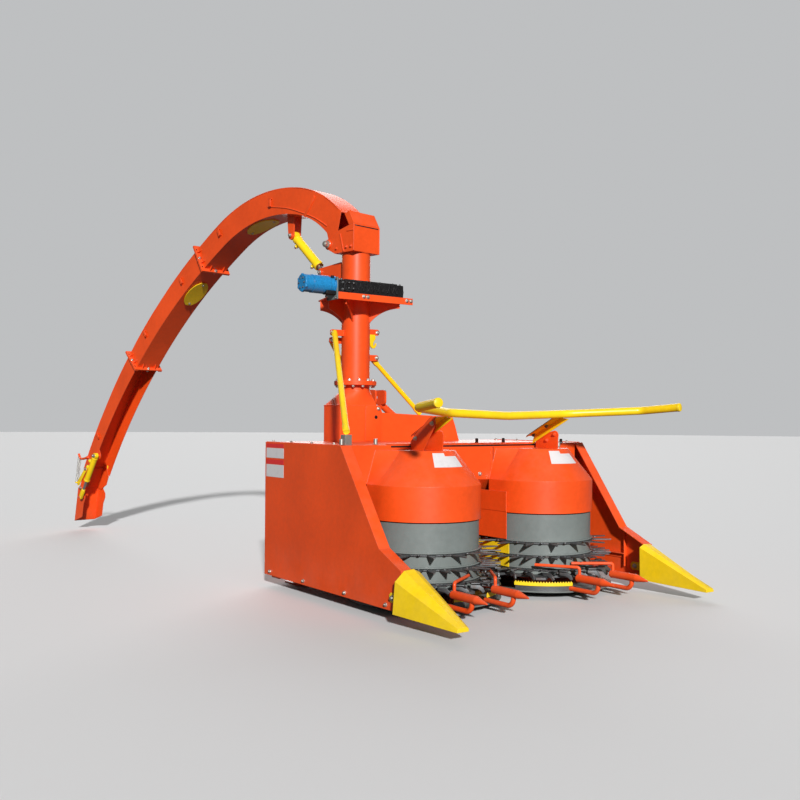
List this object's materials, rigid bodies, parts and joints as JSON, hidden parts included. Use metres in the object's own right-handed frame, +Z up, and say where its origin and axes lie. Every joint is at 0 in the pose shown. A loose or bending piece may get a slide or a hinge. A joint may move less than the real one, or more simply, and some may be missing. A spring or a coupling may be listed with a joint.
{
  "type": "mounted forage harvester",
  "caption": "Tractor-mounted forage harvester with two vertical cutting rotors, a chopping housing, and a tall slewing discharge spout with a folding deflector.",
  "frame": {"origin": "on the ground, midway between the two rotor axes", "axes": "+Z up, +Y back towards the tractor hitch, +X towards the machine's side that is on the right when it is seen from its crop end"},
  "size_m": [1.8464, 4.9282, 2.376],
  "materials": {
    "orange_paint": "satin orange-red paint",
    "yellow_paint": "satin yellow paint",
    "grey_paint": "satin grey paint",
    "dark_steel": "dark rolled steel",
    "bright_steel": "zinc plated or ground steel",
    "blue_paint": "gloss blue paint",
    "black_paint": "satin black paint"
  },
  "bodies": {
    "chassis": {"bar_bracket_left": "orange_paint", "bar_bracket_right": "orange_paint", "base_frame": "orange_paint", "blower_cover": "orange_paint", "brace_foot": "bright_steel", "chopper_drum": "dark_steel", "chopper_housing": "orange_paint", "crop_divider_left": "yellow_paint", "crop_divider_right": "yellow_paint", "deck_plate": "orange_paint", "front_wall": "orange_paint", "gearbox": "black_paint", "hitch_frame": "orange_paint", "lower_tower": "orange_paint", "push_bar": "yellow_paint", "rear_stand_left": "orange_paint", "rear_stand_right": "orange_paint", "rear_wall": "orange_paint", "rotor_dish_left": "grey_paint", "rotor_dish_right": "grey_paint", "rotor_hood_left": "orange_paint", "rotor_hood_right": "orange_paint", "side_panel_left": "orange_paint", "side_panel_right": "orange_paint", "slew_drive": "black_paint", "slew_motor": "blue_paint", "slew_tray": "orange_paint", "stalk_guides_left": "orange_paint", "stalk_guides_right": "orange_paint", "stripper_left": "yellow_paint", "stripper_right": "yellow_paint", "throat_floor": "orange_paint", "throat_roof": "orange_paint", "throat_wall_left": "orange_paint", "throat_wall_right": "orange_paint", "tower_base": "orange_paint", "tower_brace_left": "yellow_paint", "tower_brace_rear": "yellow_paint", "tower_brace_right": "yellow_paint"},
    "rotor_left": {"rotor_drum_left": "grey_paint", "toothed_discs_left": "dark_steel", "knife_disc_left": "dark_steel"},
    "rotor_right": {"rotor_drum_right": "grey_paint", "toothed_discs_right": "dark_steel", "knife_disc_right": "dark_steel"},
    "input_shaft": {"pto_shaft": "bright_steel"},
    "turret": {"upper_tower": "orange_paint", "elbow_box": "orange_paint", "elbow_cap": "orange_paint"},
    "spout": {"spout_section_1": "orange_paint", "spout_section_2": "orange_paint", "spout_section_3": "orange_paint"},
    "lift_cylinder_barrel": {"lift_barrel": "yellow_paint"},
    "lift_cylinder_rod": {"lift_rod": "bright_steel"},
    "deflector_flap_upper": {"deflector_upper": "orange_paint"},
    "deflector_flap_lower": {"deflector_lower": "orange_paint"},
    "deflector_cylinder_barrel": {"deflector_barrel": "yellow_paint"},
    "deflector_cylinder_rod": {"deflector_rod": "bright_steel"}
  },
  "joints": [
    {"name": "rotor_left_spin", "type": "hinge", "parent": "chassis", "child": "rotor_left", "pos_m": [-0.4, 0, 0.2], "axis": [0, 0, 1], "continuous": true},
    {"name": "rotor_right_spin", "type": "hinge", "parent": "chassis", "child": "rotor_right", "pos_m": [0.4, 0, 0.2], "axis": [0, 0, 1], "continuous": true},
    {"name": "input_shaft_spin", "type": "hinge", "parent": "chassis", "child": "input_shaft", "pos_m": [0, 1.05, 0.56], "axis": [0, 1, 0], "continuous": true},
    {"name": "spout_slew", "type": "hinge", "parent": "chassis", "child": "turret", "pos_m": [-0.278, 0.844, 1.8], "axis": [0, 0, 1], "range_deg": [-110, 110]},
    {"name": "spout_lift", "type": "hinge", "parent": "turret", "child": "spout", "pos_m": [-0.30092, 0.974, 1.955], "axis": [0.9848, 0.1736, 0], "range_deg": [0, 30]},
    {"name": "lift_barrel_swing", "type": "hinge", "parent": "spout", "child": "lift_cylinder_barrel", "pos_m": [-0.37785, 1.41026, 2.079], "axis": [0.9848, 0.1736, 0], "range_deg": [-1.8, 0.1]},
    {"name": "lift_rod_slide", "type": "slide", "parent": "lift_cylinder_barrel", "child": "lift_cylinder_rod", "axis": [0.1282, -0.727, -0.6746], "range_m": [-0.001, 0.1085]},
    {"name": "deflector_fold", "type": "hinge", "parent": "spout", "child": "deflector_flap_upper", "pos_m": [-0.81839, 3.90872, 0.506], "axis": [0.9848, 0.1736, 0], "range_deg": [-20, 5]},
    {"name": "deflector_lower_fold", "type": "hinge", "parent": "deflector_flap_upper", "child": "deflector_flap_lower", "pos_m": [-0.83229, 3.98751, 0.35], "axis": [0.9848, 0.1736, 0], "range_deg": [-20.2, 5.2]},
    {"name": "deflector_barrel_swing", "type": "hinge", "parent": "spout", "child": "deflector_cylinder_barrel", "pos_m": [-0.89947, 3.68322, 0.62], "axis": [0.9848, 0.1736, 0], "range_deg": [-10.5, 2.8]},
    {"name": "deflector_rod_slide", "type": "slide", "parent": "deflector_cylinder_barrel", "child": "deflector_cylinder_rod", "axis": [-0.0997, 0.5657, -0.8186], "range_m": [-0.0715, 0.0185]}
  ],
  "couplings": [
    {"joint": "rotor_right_spin", "follows": "rotor_left_spin", "ratio": -1},
    {"joint": "lift_barrel_swing", "follows": "spout_lift", "ratio": -0.0558},
    {"joint": "lift_rod_slide", "follows": "spout_lift", "m_per_rad": 0.20456},
    {"joint": "deflector_lower_fold", "follows": "deflector_fold", "ratio": 1},
    {"joint": "deflector_barrel_swing", "follows": "deflector_fold", "ratio": 0.516},
    {"joint": "deflector_rod_slide", "follows": "deflector_fold", "m_per_rad": 0.20303}
  ]
}
